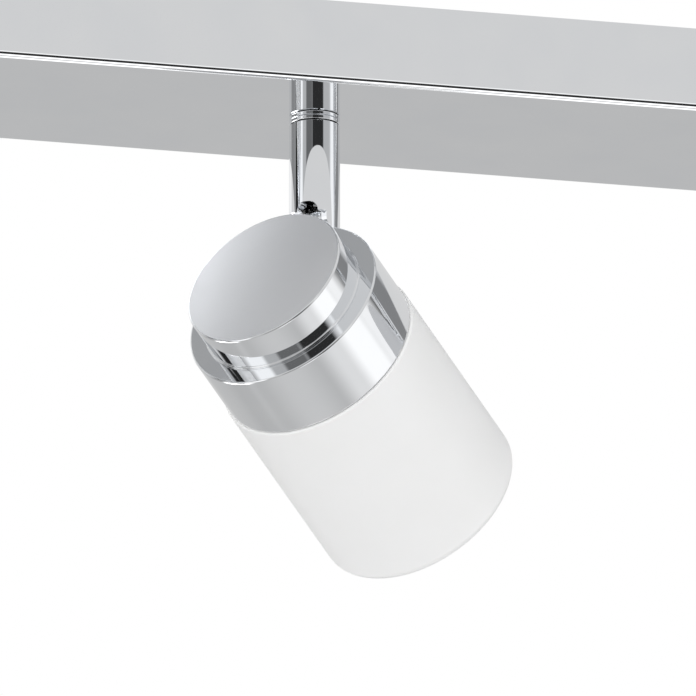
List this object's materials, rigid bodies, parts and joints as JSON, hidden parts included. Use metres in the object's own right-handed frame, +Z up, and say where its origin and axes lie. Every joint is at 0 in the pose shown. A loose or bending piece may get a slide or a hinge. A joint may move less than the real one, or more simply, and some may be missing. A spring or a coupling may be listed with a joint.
{
  "type": "track lighting fixture",
  "caption": "Chromed ceiling bar with swivelling, tilting spotlights, each with a stepped metal cap and an opal glass cylinder.",
  "frame": {"origin": "centre of the ceiling plate's mounting face, at the ceiling", "axes": "+Z up into the ceiling, +X along the bar, -Y towards the viewer's side of the bar"},
  "size_m": [0.604, 0.102, 0.1478],
  "materials": {
    "chrome": "polished chrome plate",
    "steel": "zinc-plated",
    "brass": "turned",
    "opal_glass": "satin opal white",
    "lamp_glass": "frosted",
    "ceramic": "glazed steatite",
    "white_plastic": "moulded",
    "rubber": "moulded",
    "silicone": "translucent white silicone",
    "lead_insulation": "extruded insulation"
  },
  "bodies": {
    "bar": {"bar_cover": "chrome", "ceiling_plate": "steel", "cover_screws": "steel", "cover_nuts": "brass", "cable_grommet": "rubber", "terminal_block": "white_plastic", "terminal_screws": "brass", "earth_screw": "brass", "lead_clips": "white_plastic", "bar_leads": "lead_insulation", "friction_washers": "white_plastic", "collar_left": "chrome", "collar_middle": "chrome", "collar_right": "chrome"},
    "stem_left": {"stem_left": "chrome", "stem_nut_left": "brass", "stem_lead_left": "lead_insulation", "pivot_screw_left": "steel", "pivot_washers_left": "steel"},
    "head_left": {"tongue_left": "chrome", "ring_left": "chrome", "back_cap_left": "chrome", "holder_bracket_left": "steel", "head_screws_left": "steel", "lamp_holder_left": "ceramic", "lamp_base_left": "white_plastic", "lamp_envelope_left": "lamp_glass", "glass_gasket_left": "silicone", "glass_shade_left": "opal_glass"},
    "stem_middle": {"stem_middle": "chrome", "stem_nut_middle": "brass", "stem_lead_middle": "lead_insulation", "pivot_screw_middle": "steel", "pivot_washers_middle": "steel"},
    "head_middle": {"tongue_middle": "chrome", "ring_middle": "chrome", "back_cap_middle": "chrome", "holder_bracket_middle": "steel", "head_screws_middle": "steel", "lamp_holder_middle": "ceramic", "lamp_base_middle": "white_plastic", "lamp_envelope_middle": "lamp_glass", "glass_gasket_middle": "silicone", "glass_shade_middle": "opal_glass"},
    "stem_right": {"stem_right": "chrome", "stem_nut_right": "brass", "stem_lead_right": "lead_insulation", "pivot_screw_right": "steel", "pivot_washers_right": "steel"},
    "head_right": {"tongue_right": "chrome", "ring_right": "chrome", "back_cap_right": "chrome", "holder_bracket_right": "steel", "head_screws_right": "steel", "lamp_holder_right": "ceramic", "lamp_base_right": "white_plastic", "lamp_envelope_right": "lamp_glass", "glass_gasket_right": "silicone", "glass_shade_right": "opal_glass"}
  },
  "joints": [
    {"name": "left_swivel", "type": "hinge", "parent": "bar", "child": "stem_left", "pos_m": [-0.2, 0, -0.024], "axis": [0, 0, 1], "range_deg": [-170, 170]},
    {"name": "left_tilt", "type": "hinge", "parent": "stem_left", "child": "head_left", "pos_m": [-0.2, 0, -0.0542], "axis": [-0.7046, 0.7096, 0], "range_deg": [-40, 43]},
    {"name": "middle_swivel", "type": "hinge", "parent": "bar", "child": "stem_middle", "pos_m": [0, 0, -0.024], "axis": [0, 0, 1], "range_deg": [-170, 170]},
    {"name": "middle_tilt", "type": "hinge", "parent": "stem_middle", "child": "head_middle", "pos_m": [0, 0, -0.0542], "axis": [-0.7046, 0.7096, 0], "range_deg": [-40, 43]},
    {"name": "right_swivel", "type": "hinge", "parent": "bar", "child": "stem_right", "pos_m": [0.2, 0, -0.024], "axis": [0, 0, 1], "range_deg": [-170, 170]},
    {"name": "right_tilt", "type": "hinge", "parent": "stem_right", "child": "head_right", "pos_m": [0.2, 0, -0.0542], "axis": [-0.7046, 0.7096, 0], "range_deg": [-40, 43]}
  ]
}
